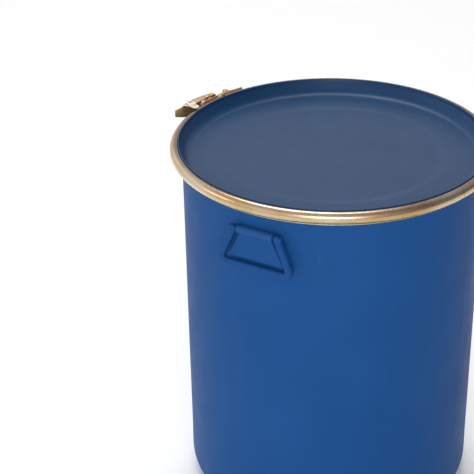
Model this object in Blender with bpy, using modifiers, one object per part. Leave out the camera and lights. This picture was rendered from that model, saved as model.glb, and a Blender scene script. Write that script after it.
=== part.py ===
"""Open-head plastic drum with a recessed lid, a lever-lock clamp ring and two swing handles.

Metres, +Z up. The origin is the centre of the base. One handle faces -Y and the other +Y.
The ring's closure is on the -X side and the ring's expansion notch is on the +X side.
"""

import math

import bmesh
import bpy
from mathutils import Matrix, Vector

MM = 0.001

# ---------------------------------------------------------------- driving dimensions
RING_R = 200.0 * MM  # outer radius of the clamp ring
RING_TOP = 477.5 * MM  # height of the clamp ring's top edge
BODY_R = 185.3 * MM  # outer radius of the body, just under the ring
DRAFT = 0.010  # the body narrows by this much for each metre down
WALL = 3.6 * MM  # thickness of the body's wall
BASE_CORNER = 40.0 * MM  # radius of the rounded corner round the base
GAP = 0.3 * MM  # between pieces that touch
STEPS = 48  # sides of a turned piece

# heights of the mouth, the lid and the ring
NECK_Z = RING_TOP - 24.5 * MM  # where the plain wall ends
BEAD_Z = RING_TOP - 7.5 * MM  # top of the mouth bead
RING_MID = RING_TOP - 7.5 * MM  # the ring's widest height
LID_TOP = RING_TOP + 1.1 * MM  # top of the lid's rim
PANEL_Z = RING_TOP - 16.5 * MM  # outer part of the lid's recessed panel
MOUTH_R = 190.0 * MM  # inner radius of the flared mouth
BEAD_R = 195.8 * MM  # outer radius of the mouth bead

# clamp ring section
RING_SHEET = 1.4 * MM
RING_HALF_W = 7.3 * MM
RING_HALF_H = 7.5 * MM
NOTCH_AT = math.radians(-13.0)  # where round the ring the expansion notch is
CLOSURE_AT = math.radians(165.0)  # where round the ring its two ends meet
END_GAP = 3.0 * MM  # from the closure's centre line to each ring end
NOTCH_LIP = 5.0 * MM  # how far each half's lower lip is cut back at the notch

# closure: radius r from the drum's axis, and y along the ring from the closure's centre line
PIVOT_R = 205.5 * MM  # all three closure pins stand at this radius
PIVOT_Y = 10.0 * MM  # lever pivot
LINK_Y = 19.0 * MM  # pin that joins the link to the lever
HOOK_Y = -14.0 * MM  # anchor pin that the link hooks over
PIN_R = 2.0 * MM
PLATE = 1.7 * MM  # thickness of the brackets' sheet
LEVER_SHEET = 1.6 * MM
LEVER_HALF_H = 9.0 * MM
LEVER_WEB_Y = 24.5 * MM  # the lever is a fork up to here, and a channel past it
CATCH_Y = 50.0 * MM
CATCH_R = 203.4 * MM

# handles
HANDLE_Z = 436.0 * MM  # height of the handle's pivot
HANDLE_OUT = 190.0 * MM  # distance of the handle's middle plane from the drum's axis
HANDLE_TOP_X = 29.5 * MM
HANDLE_LOW_X = 48.5 * MM
HANDLE_LOW_Z = 390.0 * MM
BAR = 9.0 * MM  # width of the handle's bar
BAR_THICK = 8.0 * MM
STUD_R = 2.5 * MM
BARREL_R = 5.0 * MM
BARREL_HALF = 24.3 * MM
PAD_FACE = 190.2 * MM
PAD_TOP_Z = 436.0 * MM
PAD_NECK_Z = 428.6 * MM  # the pad's sides stand upright above this, clear of the swinging legs
PAD_LOW_Z = 396.2 * MM
PAD_TOP_X = 24.2 * MM
PAD_LOW_X = 39.4 * MM

BLUE = (0.026, 0.106, 0.305)
BLUE_LID = (0.055, 0.105, 0.195)
GOLD = (0.560, 0.400, 0.190)
BLACK = (0.020, 0.020, 0.022)
CREAM = (0.780, 0.720, 0.600)


# ---------------------------------------------------------------- scene and materials
def clear_scene():
    for old in list(bpy.data.objects):
        bpy.data.objects.remove(old, do_unlink=True)


def new_collection(name):
    made = bpy.data.collections.new(name)
    bpy.context.scene.collection.children.link(made)
    return made


clear_scene()
PARTS = new_collection("open_head_drum")
CUTTERS = new_collection("cutters")


def material(name, colour, roughness, metallic=0.0):
    made = bpy.data.materials.new(name)
    made.use_nodes = True
    shader = made.node_tree.nodes["Principled BSDF"]
    shader.inputs["Base Color"].default_value = (*colour, 1.0)
    shader.inputs["Roughness"].default_value = roughness
    shader.inputs["Metallic"].default_value = metallic
    return made


def part(name, mesh, colour, roughness, metallic=0.0, parent=None):
    """A visible sub-part with its own material."""
    obj = bpy.data.objects.new(name, mesh)
    PARTS.objects.link(obj)
    mesh.materials.append(material(name, colour, roughness, metallic))
    obj.parent = parent
    return obj


def cutter(name, mesh, parent=None):
    obj = bpy.data.objects.new(name, mesh)
    CUTTERS.objects.link(obj)
    obj.hide_render = True
    obj.display_type = "WIRE"
    obj.parent = parent
    return obj


def frame_empty(name, turn=0.0):
    obj = bpy.data.objects.new(name, None)
    PARTS.objects.link(obj)
    obj.rotation_euler.z = turn
    return obj


# ---------------------------------------------------------------- shapes
def arc(centre, radii, start, end, steps):
    """Points round an ellipse, from one angle to another, in degrees."""
    points = []
    for i in range(steps + 1):
        a = math.radians(start + (end - start) * i / steps)
        points.append((centre[0] + radii[0] * math.cos(a), centre[1] + radii[1] * math.sin(a)))
    return points


def profile_mesh(name, points, closed=False):
    """A chain of edges in the XZ plane, for a Screw modifier."""
    mesh = bpy.data.meshes.new(name)
    vertices = [(r, 0.0, z) for r, z in points]
    edges = [(i, i + 1) for i in range(len(points) - 1)]
    if closed:
        edges.append((len(points) - 1, 0))
    mesh.from_pydata(vertices, edges, [])
    return mesh


def add_screw(obj, angle=2 * math.pi, steps=STEPS):
    screw = obj.modifiers.new("Turn", "SCREW")
    screw.axis = "Z"
    screw.angle = angle
    screw.steps = steps
    screw.render_steps = steps
    screw.use_merge_vertices = True
    screw.merge_threshold = 0.00001
    screw.use_smooth_shade = True


def add_solidify(obj, thickness):
    shell = obj.modifiers.new("Sheet", "SOLIDIFY")
    shell.thickness = thickness
    shell.offset = -1.0
    shell.use_even_offset = True
    shell.use_rim = True


def add_boolean(obj, other, operation):
    boolean = obj.modifiers.new(other.name, "BOOLEAN")
    boolean.operation = operation
    boolean.solver = "EXACT"
    boolean.object = other


def add_bevel(obj, width, segments=2, angle=40.0):
    bevel = obj.modifiers.new("Edges", "BEVEL")
    bevel.width = width
    bevel.segments = segments
    bevel.limit_method = "ANGLE"
    bevel.angle_limit = math.radians(angle)


def plate_mesh(name, outline, low, high):
    """A flat outline in XY, as thick as low to high along Z."""
    curve = bpy.data.curves.new(name, "CURVE")
    curve.dimensions = "2D"
    curve.fill_mode = "BOTH"
    curve.extrude = (high - low) / 2
    spline = curve.splines.new("POLY")
    spline.points.add(len(outline) - 1)
    for point, (x, y) in zip(spline.points, outline):
        point.co = (x, y, 0.0, 1.0)
    spline.use_cyclic_u = True
    drawn = bpy.data.objects.new(name + "_outline", curve)
    CUTTERS.objects.link(drawn)
    bpy.context.view_layer.update()
    graph = bpy.context.evaluated_depsgraph_get()
    mesh = bpy.data.meshes.new_from_object(drawn.evaluated_get(graph))
    bpy.data.objects.remove(drawn, do_unlink=True)
    tidy = bmesh.new()
    tidy.from_mesh(mesh)
    bmesh.ops.remove_doubles(tidy, verts=tidy.verts, dist=0.000001)
    bmesh.ops.translate(tidy, verts=tidy.verts, vec=(0.0, 0.0, (low + high) / 2))
    bmesh.ops.recalc_face_normals(tidy, faces=tidy.faces)
    tidy.to_mesh(mesh)
    tidy.free()
    mesh.name = name
    return mesh


def rod_mesh(name, start, end, radius, sides=16):
    """A round rod between two points."""
    start = Vector(start)
    along = Vector(end) - start
    turn = along.to_track_quat("Z", "Y").to_matrix().to_4x4()
    place = Matrix.Translation(start + along / 2) @ turn
    shape = bmesh.new()
    bmesh.ops.create_cone(
        shape,
        cap_ends=True,
        segments=sides,
        radius1=radius,
        radius2=radius,
        depth=along.length,
        matrix=place,
    )
    mesh = bpy.data.meshes.new(name)
    shape.to_mesh(mesh)
    shape.free()
    return mesh


def box_mesh(name, low, high):
    low = Vector(low)
    high = Vector(high)
    shape = bmesh.new()
    place = Matrix.Translation((low + high) / 2) @ Matrix.Diagonal((*(high - low), 1.0))
    bmesh.ops.create_cube(shape, size=1.0, matrix=place)
    mesh = bpy.data.meshes.new(name)
    shape.to_mesh(mesh)
    shape.free()
    return mesh


def fillet(points, radius, steps):
    """The open chain of points with each inner corner rounded."""
    out = [Vector(points[0])]
    for before, corner, after in zip(points, points[1:], points[2:]):
        corner = Vector(corner)
        back = (Vector(before) - corner).normalized()
        on = (Vector(after) - corner).normalized()
        half = back.angle(on) / 2
        centre = corner + (back + on).normalized() * radius / math.sin(half)
        first = corner + back * radius / math.tan(half) - centre
        last = corner + on * radius / math.tan(half) - centre
        sweep = first.angle_signed(last)
        for i in range(steps + 1):
            turn = Matrix.Rotation(-sweep * i / steps, 2)
            out.append(centre + turn @ first)
    out.append(Vector(points[-1]))
    return out


def stroke(points, half_width, radius=0.0, steps=4, end_steps=6):
    """The outline of a bar along a chain of points, with rounded corners and half-round ends."""
    line = fillet(points, radius, steps) if radius else [Vector(p) for p in points]
    sides = []
    for i, here in enumerate(line):
        ahead = line[min(i + 1, len(line) - 1)] - line[max(i - 1, 0)]
        across = Vector((-ahead.y, ahead.x)).normalized() * half_width
        sides.append((here + across, here - across))

    def round_end(tip, start):
        return [
            tip + Matrix.Rotation(-math.pi * i / end_steps, 2) @ start for i in range(1, end_steps)
        ]

    left = [a for a, _ in sides]
    right = [b for _, b in sides]
    outline = left + round_end(line[-1], left[-1] - line[-1])
    outline += right[::-1] + round_end(line[0], right[0] - line[0])
    return [(p.x, p.y) for p in outline]


# ---------------------------------------------------------------- drum body
def wall_radius(z):
    return BODY_R - DRAFT * (NECK_Z - z)


def body_outer():
    """The outside of the drum, from the axis over the mouth and down to the base."""
    low_r = wall_radius(BASE_CORNER)
    points = [(0.0, BEAD_Z)]
    points.append((BEAD_R - 1.6 * MM, BEAD_Z))
    points.append((BEAD_R - 0.4 * MM, BEAD_Z - 0.7 * MM))
    points.append((BEAD_R, BEAD_Z - 2.0 * MM))
    points.append((BEAD_R - 0.5 * MM, BEAD_Z - 3.4 * MM))
    points.append((BEAD_R - 2.4 * MM, BEAD_Z - 4.6 * MM))
    points.append((BODY_R + 5.3 * MM, BEAD_Z - 5.8 * MM))
    points.append((BODY_R + 2.7 * MM, BEAD_Z - 8.2 * MM))
    points.append((BODY_R + 1.1 * MM, BEAD_Z - 11.0 * MM))
    points.append((BODY_R + 0.3 * MM, BEAD_Z - 13.8 * MM))
    points.append((BODY_R, NECK_Z))
    corner = arc((low_r - BASE_CORNER, BASE_CORNER), (BASE_CORNER, BASE_CORNER), 0, -90, 6)
    points += corner
    points += [(112.0 * MM, 0.0), (104.0 * MM, 3.0 * MM), (56.0 * MM, 3.0 * MM), (48.0 * MM, 0.0)]
    points.append((0.0, 0.0))
    return points


def body_inner():
    """The room inside the drum, from above the mouth to the floor."""
    low_r = wall_radius(BASE_CORNER) - WALL
    radius = BASE_CORNER - WALL
    points = [(0.0, BEAD_Z + 20.0 * MM), (MOUTH_R, BEAD_Z + 20.0 * MM)]
    points.append((MOUTH_R, BEAD_Z - 0.4 * MM))
    points.append((MOUTH_R - 5.0 * MM, BEAD_Z - 7.8 * MM))
    points.append((MOUTH_R - 7.2 * MM, BEAD_Z - 11.4 * MM))
    points.append((MOUTH_R - 8.3 * MM, BEAD_Z - 16.0 * MM))
    corner = arc((low_r - radius, BASE_CORNER + 3.4 * MM), (radius, radius), 0, -90, 5)
    points += corner
    points.append((0.0, BASE_CORNER + 3.4 * MM - radius))
    return points


def pad_outline():
    corners = [
        (-PAD_TOP_X, PAD_TOP_Z),
        (-PAD_TOP_X, PAD_NECK_Z),
        (-PAD_LOW_X, PAD_LOW_Z),
        (PAD_LOW_X, PAD_LOW_Z),
        (PAD_TOP_X, PAD_NECK_Z),
        (PAD_TOP_X, PAD_TOP_Z),
    ]
    line = fillet(corners, 4.0 * MM, 3)
    return [(p.x, p.y) for p in line]


def handle_mounting(body, side, turn):
    """The raised pad and the pivot barrel of one handle, joined to the body."""
    place = frame_empty(side + "_handle_frame", turn=turn)
    pad = cutter(side + "_pad", plate_mesh(side + "_pad", pad_outline(), 170 * MM, PAD_FACE), place)
    pad.rotation_euler.x = math.pi / 2
    add_bevel(pad, 1.5 * MM, 2, 80.0)
    add_boolean(body, pad, "UNION")
    back = box_mesh(
        side + "_barrel_back",
        (-BARREL_HALF, -HANDLE_OUT, HANDLE_Z - BARREL_R * 0.9),
        (BARREL_HALF, -170 * MM, HANDLE_Z + BARREL_R * 0.9),
    )
    add_boolean(body, cutter(side + "_barrel_back", back, place), "UNION")
    axis_y = -HANDLE_OUT
    barrel = rod_mesh(
        side + "_barrel", (-BARREL_HALF, axis_y, HANDLE_Z), (BARREL_HALF, axis_y, HANDLE_Z), BARREL_R
    )
    add_boolean(body, cutter(side + "_barrel", barrel, place), "UNION")
    return place


def handle_sockets(body, side, place):
    for label, sign in (("left", -1), ("right", 1)):
        hole = rod_mesh(
            side + "_socket_" + label,
            (sign * 16.5 * MM, -HANDLE_OUT, HANDLE_Z),
            (sign * 30.0 * MM, -HANDLE_OUT, HANDLE_Z),
            STUD_R + GAP,
        )
        add_boolean(body, cutter(side + "_socket_" + label, hole, place), "DIFFERENCE")


def make_body():
    body = part("drum_body", profile_mesh("drum_body", body_outer()), BLUE, 0.42)
    add_screw(body)
    places = {}
    for side, turn in (("front", 0.0), ("back", math.pi)):
        places[side] = handle_mounting(body, side, turn)
    room = cutter("drum_room", profile_mesh("drum_room", body_inner()))
    add_screw(room)
    add_boolean(body, room, "DIFFERENCE")
    for side, place in places.items():
        handle_sockets(body, side, place)
    return places


# ---------------------------------------------------------------- handles
def make_handle(side, place):
    """A loop that hangs round its pad, with a stud at the top of each leg."""
    line = [
        (-HANDLE_TOP_X, HANDLE_Z),
        (-HANDLE_LOW_X, HANDLE_LOW_Z),
        (HANDLE_LOW_X, HANDLE_LOW_Z),
        (HANDLE_TOP_X, HANDLE_Z),
    ]
    line = [(x, z - HANDLE_Z) for x, z in line]
    outline = stroke(line, BAR / 2, radius=7.5 * MM, steps=3, end_steps=6)
    mesh = plate_mesh(side + "_handle", outline, -BAR_THICK / 2, BAR_THICK / 2)
    mesh.transform(Matrix.Rotation(math.pi / 2, 4, "X"))
    handle = part(side + "_handle", mesh, BLUE, 0.4, parent=place)
    handle.location = (0.0, -HANDLE_OUT, HANDLE_Z)
    add_bevel(handle, 1.8 * MM, 2, 60.0)
    for label, sign in (("left", -1), ("right", 1)):
        name = side + "_stud_" + label
        stud = cutter(
            name, rod_mesh(name, (sign * 17.5 * MM, 0, 0), (sign * 27.5 * MM, 0, 0), STUD_R), handle
        )
        add_boolean(handle, stud, "UNION")


# ---------------------------------------------------------------- lid and gasket
def lid_profile():
    """The lid's top from its centre to the skirt, then its underside back to the centre."""
    t = 2.6 * MM
    step_r = 135.0 * MM
    step = 1.2 * MM
    cove = (175.0 * MM, PANEL_Z + 8.0 * MM)
    lean = -31.7
    top = [
        (0.0, PANEL_Z - step),
        (step_r - 6.0 * MM, PANEL_Z - step),
        (step_r, PANEL_Z - step / 2),
        (step_r + 6.0 * MM, PANEL_Z),
    ]
    top += arc(cove, (8.0 * MM, 8.0 * MM), -90, lean, 3)
    top += [
        (187.9 * MM, LID_TOP - 4.0 * MM),
        (188.6 * MM, LID_TOP - 2.1 * MM),
        (188.9 * MM, LID_TOP - 0.7 * MM),
        (189.4 * MM, LID_TOP),
        (190.0 * MM, LID_TOP - 0.1 * MM),
        (190.4 * MM, LID_TOP - 0.8 * MM),
        (190.5 * MM, RING_TOP - 1.9 * MM),
        (193.4 * MM, RING_TOP - 2.0 * MM),
        (195.4 * MM, RING_TOP - 2.7 * MM),
        (196.7 * MM, RING_TOP - 4.1 * MM),
        (197.4 * MM, RING_TOP - 6.1 * MM),
        (197.6 * MM, RING_TOP - 8.0 * MM),
        (197.3 * MM, RING_TOP - 9.9 * MM),
    ]
    under = [
        (196.0 * MM, RING_TOP - 9.9 * MM),
        (196.0 * MM, RING_TOP - 5.6 * MM),
        (194.9 * MM, RING_TOP - 4.5 * MM),
        (190.2 * MM, RING_TOP - 4.5 * MM),
        (189.2 * MM, RING_TOP - 5.7 * MM),
    ]
    under += arc(cove, (8.0 * MM + t, 8.0 * MM + t), lean, -90, 3)
    under += [
        (step_r + 6.0 * MM, PANEL_Z - t),
        (step_r - 6.0 * MM, PANEL_Z - t - step),
        (0.0, PANEL_Z - t - step),
    ]
    return top + under


def make_lid():
    lid = part("lid", profile_mesh("lid", lid_profile()), BLUE_LID, 0.35)
    add_screw(lid)
    seat = BEAD_Z + GAP
    roof = RING_TOP - 4.5 * MM - GAP
    soft = 0.7 * MM
    low_r = 190.6 * MM
    high_r = 195.0 * MM
    section = [
        (low_r + soft, roof),
        (high_r - soft, roof),
        (high_r, roof - soft),
        (high_r, seat + soft),
        (high_r - soft, seat),
        (low_r + soft, seat),
        (low_r, seat + soft),
        (low_r, roof - soft),
    ]
    gasket = part("lid_gasket", profile_mesh("lid_gasket", section, closed=True), BLACK, 0.7)
    add_screw(gasket)


# ---------------------------------------------------------------- clamp ring
def ring_profile():
    """The ring's outer surface, from the top lip's edge over the bulge to the lower lip."""
    centre = (RING_R - RING_HALF_W, RING_MID)
    points = arc(centre, (RING_HALF_W, RING_HALF_H), 102, -72, 8)
    points.append((191.7 * MM, RING_TOP - 15.5 * MM))
    points.append((191.9 * MM, RING_TOP - 17.4 * MM))
    return points


def ring_half(name, start, end):
    """One half of the clamp ring, from one angle to another, in radians, anticlockwise."""
    half = part(name, profile_mesh(name, ring_profile()), GOLD, 0.3, 1.0)
    half.rotation_euler.z = start
    add_screw(half, end - start, round(STEPS * (end - start) / (2 * math.pi)))
    add_solidify(half, RING_SHEET)
    return half


def notch_cutter(half, name, at, sign):
    """Cuts the lower lip back at the expansion notch."""
    place = frame_empty(name + "_frame", turn=at)
    near, far = sorted((-sign * 2.0 * MM, sign * NOTCH_LIP))
    low = (184 * MM, near, RING_TOP - 24 * MM)
    high = (204 * MM, far, RING_MID - RING_HALF_H * 0.55)
    block = cutter(name, box_mesh(name, low, high), place)
    add_boolean(half, block, "DIFFERENCE")


def make_ring():
    end_angle = END_GAP / RING_R
    slit = 0.25 * MM / RING_R
    link_half = ring_half("clamp_ring_link_half", NOTCH_AT + slit, CLOSURE_AT - end_angle)
    lever_half = ring_half(
        "clamp_ring_lever_half", CLOSURE_AT + end_angle, NOTCH_AT - slit + 2 * math.pi
    )
    notch_cutter(link_half, "notch_link", NOTCH_AT, 1)
    notch_cutter(lever_half, "notch_lever", NOTCH_AT, -1)
    return lever_half, link_half


# ---------------------------------------------------------------- closure
EAR_INNER = 5.4 * MM  # from the ring's mid height to an ear's inner face
EAR_OUTER = EAR_INNER + PLATE


def closure_bracket(name, place, pin_y, y_start, y_end):
    """A band on the ring with two ears that hold a pin."""
    first, last = sorted((y_start / RING_R, y_end / RING_R))
    outer = RING_R + GAP + PLATE
    line = [(outer, RING_MID + EAR_OUTER), (outer, RING_MID - EAR_OUTER)]
    bracket = part(name, profile_mesh(name, line), GOLD, 0.3, 1.0, place)
    bracket.rotation_euler.z = first
    add_screw(bracket, last - first, 6)
    add_solidify(bracket, PLATE)
    base = RING_R + GAP * 2
    outline = [(base, pin_y - 5 * MM)]
    outline += arc((PIVOT_R, pin_y), (3.6 * MM, 3.6 * MM), -65, 65, 6)
    outline += [(base, pin_y + 5 * MM)]
    for label, low in (("upper", EAR_INNER), ("lower", -EAR_OUTER)):
        mesh = plate_mesh(name + label, outline, RING_MID + low, RING_MID + low + PLATE)
        add_boolean(bracket, cutter(name + "_ear_" + label, mesh, place), "UNION")
    hole = rod_mesh(
        name + "_pin_hole",
        (PIVOT_R, pin_y, RING_MID - 15 * MM),
        (PIVOT_R, pin_y, RING_MID + 15 * MM),
        PIN_R + GAP,
    )
    add_boolean(bracket, cutter(name + "_pin_hole", hole, place), "DIFFERENCE")
    return bracket


def bracket_rivet(name, place, y, bracket, half):
    """A rivet through the band and the ring's wall, flush on the inside."""
    angle = y / RING_R
    out = Vector((math.cos(angle), math.sin(angle), 0.0))
    up = Vector((0.0, 0.0, RING_MID))
    band = RING_R + GAP + PLATE
    shank = rod_mesh(name, out * (RING_R - 1.2 * MM) + up, out * (band + 0.6 * MM) + up, PIN_R)
    rivet = part(name, shank, GOLD, 0.3, 1.0, place)
    head = rod_mesh(name + "_head", out * (band + GAP) + up, out * (band + 1.5 * MM) + up, 3.4 * MM)
    add_boolean(rivet, cutter(name + "_head", head, place), "UNION")
    for target, label in ((bracket, "band"), (half, "ring")):
        hole_name = name + "_" + label
        hole = rod_mesh(
            hole_name, out * (RING_R - 4 * MM) + up, out * (band + 3 * MM) + up, PIN_R + GAP
        )
        add_boolean(target, cutter(hole_name, hole, place), "DIFFERENCE")


def headed_pin(name, place, y, low, high, head=1.1 * MM, head_r=3.3 * MM, radius=PIVOT_R):
    """An upright pin whose heads stand outside low and high, measured from the ring's mid height."""
    low_z = RING_MID + low - GAP
    high_z = RING_MID + high + GAP
    section = [
        (0.0, high_z + head),
        (head_r - 0.5 * MM, high_z + head),
        (head_r, high_z + head - 0.4 * MM),
        (head_r, high_z),
        (PIN_R, high_z),
        (PIN_R, low_z),
        (head_r, low_z),
        (head_r, low_z - head + 0.4 * MM),
        (head_r - 0.5 * MM, low_z - head),
        (0.0, low_z - head),
    ]
    pin = part(name, profile_mesh(name, section), GOLD, 0.3, 1.0, place)
    add_screw(pin, steps=16)
    pin.location = (radius, y, 0.0)


def lever_outlines():
    """The lever seen from above, and the room cut out between its two flanges."""
    sheet = LEVER_SHEET
    outer = [(209.2, 6.0), (210.8, 22.0), (210.8, 38.0), (207.6, 54.0), (207.0, 64.0), (209.4, 71.0)]
    inner = [(202.3, 6.0), (202.3, 22.0), (199.6, 40.0), (199.2, 56.0)]
    tip = [(208.0, 72.0), (205.4, 64.5), (205.4, 58.5)]
    outline = [(x * MM, y * MM) for x, y in outer + tip + inner[::-1]]
    room = [
        (196.0 * MM, 0.0),
        (216.0 * MM, 0.0),
        (216.0 * MM, LEVER_WEB_Y),
        (210.8 * MM - sheet, LEVER_WEB_Y),
        (210.8 * MM - sheet, 37.8 * MM),
        (207.6 * MM - sheet, 53.8 * MM),
        (207.2 * MM - sheet, 59.5 * MM),
        (196.0 * MM, 59.5 * MM),
    ]
    return outline, room


def cutter_of_taper(name, sign, place):
    """A wedge that narrows the lever's tip from one side, drawn in the plane of its length."""
    start, end = 53.0 * MM, 75.0 * MM
    high = LEVER_HALF_H + 0.6 * MM
    low = 3.6 * MM
    outline = [(-sign * high, start), (-sign * high, end), (-sign * low, end)]
    mesh = plate_mesh(name, outline, 190 * MM, 215 * MM)
    mesh.transform(Matrix.Rotation(math.pi / 2, 4, "Y"))
    mesh.transform(Matrix.Translation((0.0, 0.0, RING_MID)))
    return cutter(name, mesh, place)


def make_lever(place):
    """A sheet lever: a fork at its pivot, a channel along its length and a bent lip at its tip."""
    pivot = Vector((PIVOT_R, PIVOT_Y, RING_MID))
    outline, room = lever_outlines()
    outline = [(x - pivot.x, y - pivot.y) for x, y in outline]
    mesh = plate_mesh("closing_lever", outline, -LEVER_HALF_H, LEVER_HALF_H)
    lever = part("closing_lever", mesh, GOLD, 0.3, 1.0, place)
    lever.location = pivot
    inside = LEVER_HALF_H - LEVER_SHEET
    cut = plate_mesh("lever_room", room, RING_MID - inside, RING_MID + inside)
    add_boolean(lever, cutter("lever_room", cut, place), "DIFFERENCE")
    holes = {"pivot": (PIVOT_R, PIVOT_Y), "link": (PIVOT_R, LINK_Y), "catch": (CATCH_R, CATCH_Y)}
    for label, (x, y) in holes.items():
        name = "lever_hole_" + label
        low = 0.0 if label == "catch" else -15 * MM
        hole = rod_mesh(name, (x, y, RING_MID + low), (x, y, RING_MID + 15 * MM), PIN_R + GAP)
        add_boolean(lever, cutter(name, hole, place), "DIFFERENCE")
    for label, sign in (("upper", 1), ("lower", -1)):
        add_boolean(lever, cutter_of_taper("lever_taper_" + label, sign, place), "DIFFERENCE")
    return lever


LINK_ARM_IN = 1.4 * MM  # from the ring's mid height to a link arm's inner face
LINK_ARM_OUT = 3.4 * MM


def make_link(place):
    """Two arms between the lever's pin and the anchor pin, tied by a bridge, with open hooks."""
    inner = PIVOT_R - 3.0 * MM
    outer = PIVOT_R + 3.0 * MM
    hook_outer = PIVOT_R + 4.3 * MM
    play = PIN_R + 2.9 * MM
    jaw = play + 2.4 * MM
    slot_top = PIVOT_R + PIN_R + GAP
    outline = arc((PIVOT_R, LINK_Y), (3.6 * MM, 3.6 * MM), 0, 180, 8)
    outline += [
        (inner, HOOK_Y + play),
        (slot_top, HOOK_Y + play),
        (slot_top, HOOK_Y - play),
        (inner, HOOK_Y - play),
        (inner, HOOK_Y - jaw),
        (hook_outer - 1.5 * MM, HOOK_Y - jaw),
        (hook_outer, HOOK_Y - jaw + 1.5 * MM),
        (hook_outer, HOOK_Y + play + 1.0 * MM),
        (outer, HOOK_Y + play + 4.0 * MM),
    ]
    pin = Vector((PIVOT_R, LINK_Y, RING_MID))
    outline = [(x - pin.x, y - pin.y) for x, y in outline]
    mesh = plate_mesh("tension_link", outline, LINK_ARM_IN, LINK_ARM_OUT)
    link = part("tension_link", mesh, GOLD, 0.3, 1.0, place)
    link.location = pin
    lower = plate_mesh("link_lower_arm", outline, -LINK_ARM_OUT, -LINK_ARM_IN)
    add_boolean(link, cutter("link_lower_arm", lower, link), "UNION")
    bridge = box_mesh(
        "link_bridge",
        (slot_top + 0.2 * MM, HOOK_Y - jaw + 1.6 * MM, RING_MID - LINK_ARM_IN - 1.0 * MM),
        (hook_outer - 0.3 * MM, HOOK_Y + play - 0.4 * MM, RING_MID + LINK_ARM_IN + 1.0 * MM),
    )
    add_boolean(link, cutter("link_bridge", bridge, place), "UNION")
    hole = rod_mesh(
        "link_hole",
        (PIVOT_R, LINK_Y, RING_MID - 15 * MM),
        (PIVOT_R, LINK_Y, RING_MID + 15 * MM),
        PIN_R + GAP,
    )
    add_boolean(link, cutter("link_hole", hole, place), "DIFFERENCE")


def make_catch(place):
    """A tab on the lever's top flange that turns over the ring's top edge, with a round thumb knob."""
    low = RING_MID + LEVER_HALF_H + GAP
    line = [(0.0, 0.0), (-7.0 * MM, 3.0 * MM), (-14.5 * MM, 3.5 * MM)]
    outline = stroke(line, 4.2 * MM, radius=6 * MM, steps=2, end_steps=8)
    mesh = plate_mesh("safety_catch", outline, low, low + 1.6 * MM)
    catch = part("safety_catch", mesh, CREAM, 0.4, 0.0, place)
    catch.location = (CATCH_R, CATCH_Y, 0.0)
    knob = rod_mesh(
        "catch_knob",
        (-9.5 * MM, 3.2 * MM, low + 0.8 * MM),
        (-9.5 * MM, 3.2 * MM, low + 4.2 * MM),
        3.4 * MM,
    )
    add_boolean(catch, cutter("catch_knob", knob, catch), "UNION")
    hole = rod_mesh("catch_hole", (0, 0, low - 5 * MM), (0, 0, low + 9 * MM), PIN_R + GAP)
    add_boolean(catch, cutter("catch_hole", hole, catch), "DIFFERENCE")
    flange = LEVER_HALF_H - LEVER_SHEET
    top = LEVER_HALF_H + GAP + 1.6 * MM
    headed_pin("catch_pin", place, CATCH_Y, flange, top, head_r=2.9 * MM, radius=CATCH_R)


def make_closure(lever_half, link_half):
    place = frame_empty("closure_frame", turn=CLOSURE_AT)
    bracket = closure_bracket("lever_bracket", place, PIVOT_Y, END_GAP + 1 * MM, 37 * MM)
    anchor = closure_bracket("link_anchor", place, HOOK_Y, -37 * MM, -END_GAP - 1 * MM)
    for i, y in enumerate((27.0 * MM, 34.0 * MM), 1):
        bracket_rivet("bracket_rivet_%d" % i, place, y, bracket, lever_half)
        bracket_rivet("anchor_rivet_%d" % i, place, -y, anchor, link_half)
    make_lever(place)
    stub_low = EAR_INNER
    headed_pin("lever_pivot_upper", place, PIVOT_Y, stub_low, LEVER_HALF_H, head=0.9 * MM)
    headed_pin("lever_pivot_lower", place, PIVOT_Y, -LEVER_HALF_H, -stub_low, head=0.9 * MM)
    headed_pin("link_pin", place, LINK_Y, -LEVER_HALF_H, LEVER_HALF_H, head=0.9 * MM)
    headed_pin("anchor_pin", place, HOOK_Y, -EAR_OUTER, EAR_OUTER, head=0.9 * MM)
    make_link(place)
    make_catch(place)


# ---------------------------------------------------------------- build
def main():
    places = make_body()
    for side, place in places.items():
        make_handle(side, place)
    make_lid()
    lever_half, link_half = make_ring()
    make_closure(lever_half, link_half)


main()
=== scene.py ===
"""The looks of the open-head drum: smooth moulded shells, formed sheet steel and their materials."""

import math

import bmesh
import bpy
import numpy as np
from mathutils import Matrix, Vector


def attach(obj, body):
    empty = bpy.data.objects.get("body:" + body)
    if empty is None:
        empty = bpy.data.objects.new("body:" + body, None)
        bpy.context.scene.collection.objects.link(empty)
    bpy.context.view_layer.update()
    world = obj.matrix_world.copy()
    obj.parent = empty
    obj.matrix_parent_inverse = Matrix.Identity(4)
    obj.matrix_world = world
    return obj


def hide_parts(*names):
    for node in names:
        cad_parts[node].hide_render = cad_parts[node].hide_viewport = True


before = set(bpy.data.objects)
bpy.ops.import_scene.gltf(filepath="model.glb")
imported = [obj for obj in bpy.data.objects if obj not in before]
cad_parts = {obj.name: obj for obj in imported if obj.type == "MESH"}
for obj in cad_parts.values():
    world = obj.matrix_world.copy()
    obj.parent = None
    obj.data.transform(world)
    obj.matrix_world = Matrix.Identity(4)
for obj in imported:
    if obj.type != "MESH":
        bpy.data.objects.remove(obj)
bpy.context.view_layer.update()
MM = 0.001

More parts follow.
